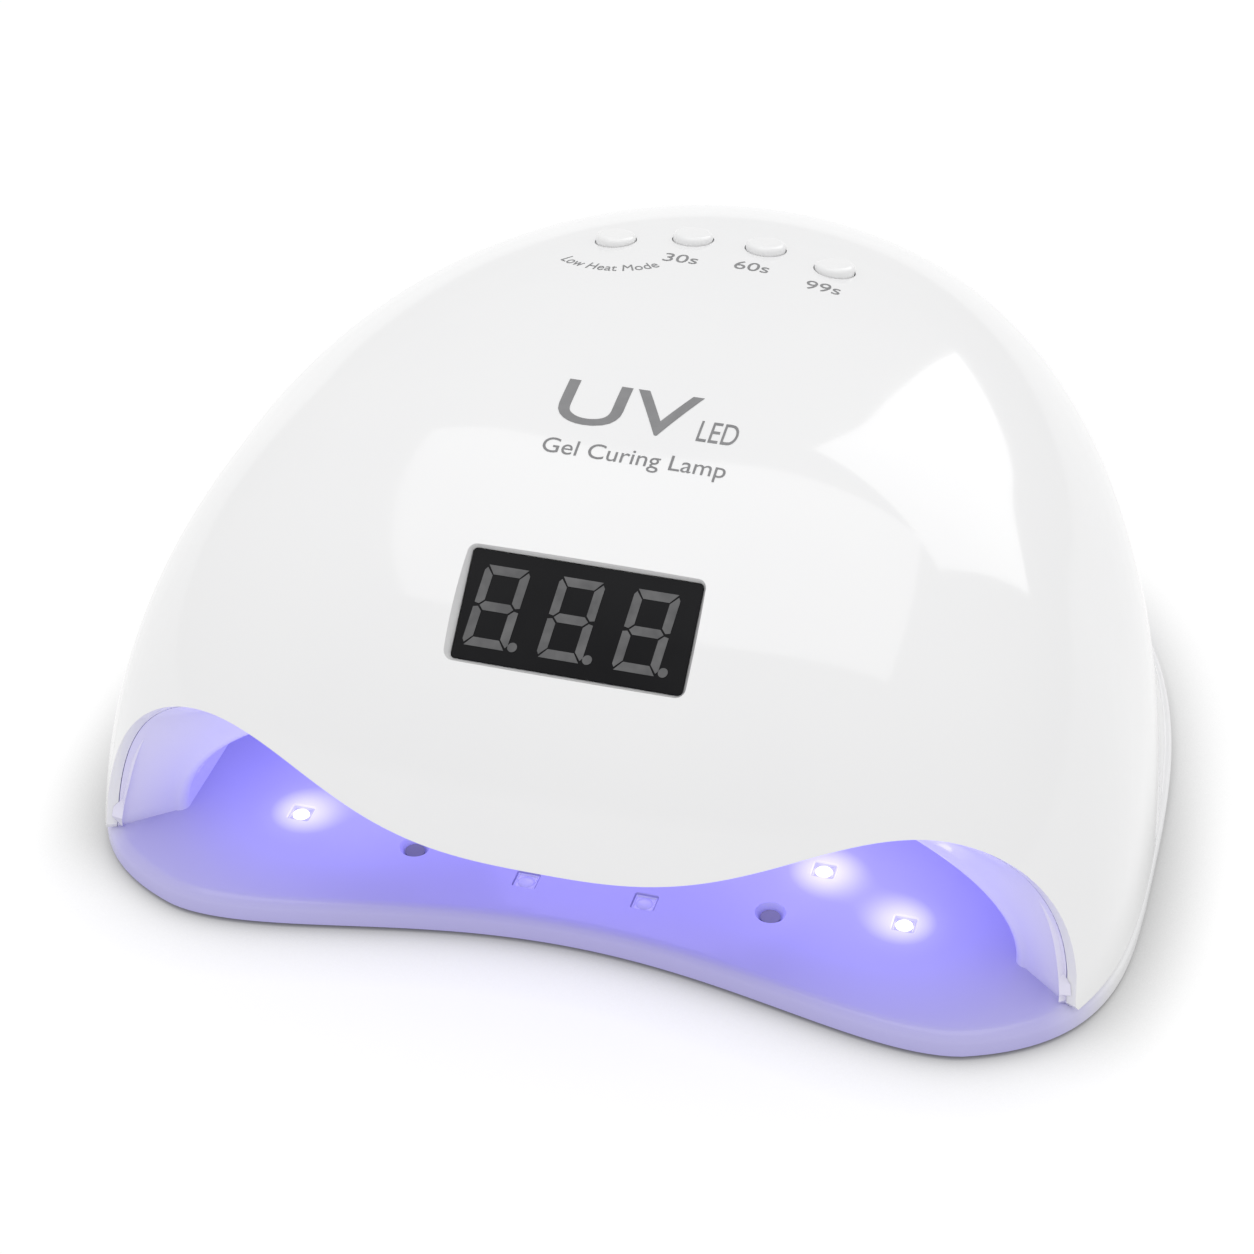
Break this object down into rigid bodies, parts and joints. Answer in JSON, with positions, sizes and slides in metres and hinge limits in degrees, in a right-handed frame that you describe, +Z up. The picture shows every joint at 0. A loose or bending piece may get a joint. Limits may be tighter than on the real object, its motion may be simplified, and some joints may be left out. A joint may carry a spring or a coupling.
{
  "type": "uv curing lamp",
  "caption": "Table-top uv curing lamp: glossy dome over an open hand chamber with lit beads in floor and ceiling, digit display on the brow and sprung timer keys on the crown.",
  "frame": {"origin": "centre of the lamp's overall plan box, on the surface its feet stand on", "axes": "+Z up; -Y is the front, where the hand goes in and the display faces; +X to the right of someone who faces the display"},
  "size_m": [0.236, 0.2245, 0.1058],
  "materials": {
    "shell_white": "gloss",
    "base_violet_white": "gloss",
    "liner_lilac": "gloss",
    "cover_plastic": "matte",
    "screw_steel": "satin",
    "foot_rubber": "matte",
    "display_black": "gloss",
    "segment_grey": "matte",
    "circuit_green": "satin",
    "led_board_white": "satin",
    "spreader_aluminium": "satin",
    "bead_lens": "clear",
    "sensor_dark": "gloss",
    "standoff_brass": "satin",
    "chip_black": "matte",
    "can_dark": "satin",
    "choke_copper": "satin",
    "inlet_black": "satin",
    "nut_nickel": "polished",
    "lead_red": "satin",
    "lead_black": "satin",
    "lead_white": "satin",
    "key_white": "gloss",
    "plunger_black": "matte",
    "switch_steel": "satin"
  },
  "bodies": {
    "housing": {"outer_shell": "shell_white", "base_plate": "base_violet_white", "chamber_liner": "liner_lilac", "bottom_cover": "cover_plastic", "housing_screws": "screw_steel", "foot_front_left": "foot_rubber", "foot_front_right": "foot_rubber", "foot_back_left": "foot_rubber", "foot_back_right": "foot_rubber", "display_module": "display_black", "display_segments": "segment_grey", "key_board": "circuit_green", "control_board": "circuit_green", "floor_led_board": "led_board_white", "ceiling_led_board": "led_board_white", "left_led_board": "led_board_white", "right_led_board": "led_board_white", "heat_spreader": "spreader_aluminium", "floor_beads": "bead_lens", "ceiling_beads": "bead_lens", "left_beads": "bead_lens", "right_beads": "bead_lens", "infrared_emitter": "sensor_dark", "infrared_receiver": "sensor_dark", "board_standoffs": "standoff_brass", "controller_chip": "chip_black", "voltage_regulator": "chip_black", "capacitors": "can_dark", "choke_coil": "choke_copper", "beeper": "chip_black", "power_inlet": "inlet_black", "inlet_nut": "nut_nickel", "inlet_lead_red": "lead_red", "inlet_lead_black": "lead_black", "key_leads": "lead_white", "display_leads": "lead_white", "side_led_leads": "lead_red", "floor_led_leads": "lead_black", "switch_low_heat": "switch_steel", "switch_30s": "switch_steel", "switch_60s": "switch_steel", "switch_99s": "switch_steel"},
    "key_low_heat_group": {"key_low_heat": "key_white", "plunger_low_heat": "plunger_black"},
    "key_30s_group": {"key_30s": "key_white", "plunger_30s": "plunger_black"},
    "key_60s_group": {"key_60s": "key_white", "plunger_60s": "plunger_black"},
    "key_99s_group": {"key_99s": "key_white", "plunger_99s": "plunger_black"}
  },
  "joints": [
    {"name": "key_low_heat_press", "type": "slide", "parent": "housing", "child": "key_low_heat_group", "axis": [0, -0.1908, -0.9816], "range_m": [0, 0.0005], "stiffness_N_per_m": 400, "springref_m": -0.0002},
    {"name": "key_30s_press", "type": "slide", "parent": "housing", "child": "key_30s_group", "axis": [0, -0.1908, -0.9816], "range_m": [0, 0.0005], "stiffness_N_per_m": 400, "springref_m": -0.0002},
    {"name": "key_60s_press", "type": "slide", "parent": "housing", "child": "key_60s_group", "axis": [0, -0.1908, -0.9816], "range_m": [0, 0.0005], "stiffness_N_per_m": 400, "springref_m": -0.0002},
    {"name": "key_99s_press", "type": "slide", "parent": "housing", "child": "key_99s_group", "axis": [0, -0.1908, -0.9816], "range_m": [0, 0.0005], "stiffness_N_per_m": 400, "springref_m": -0.0002}
  ]
}
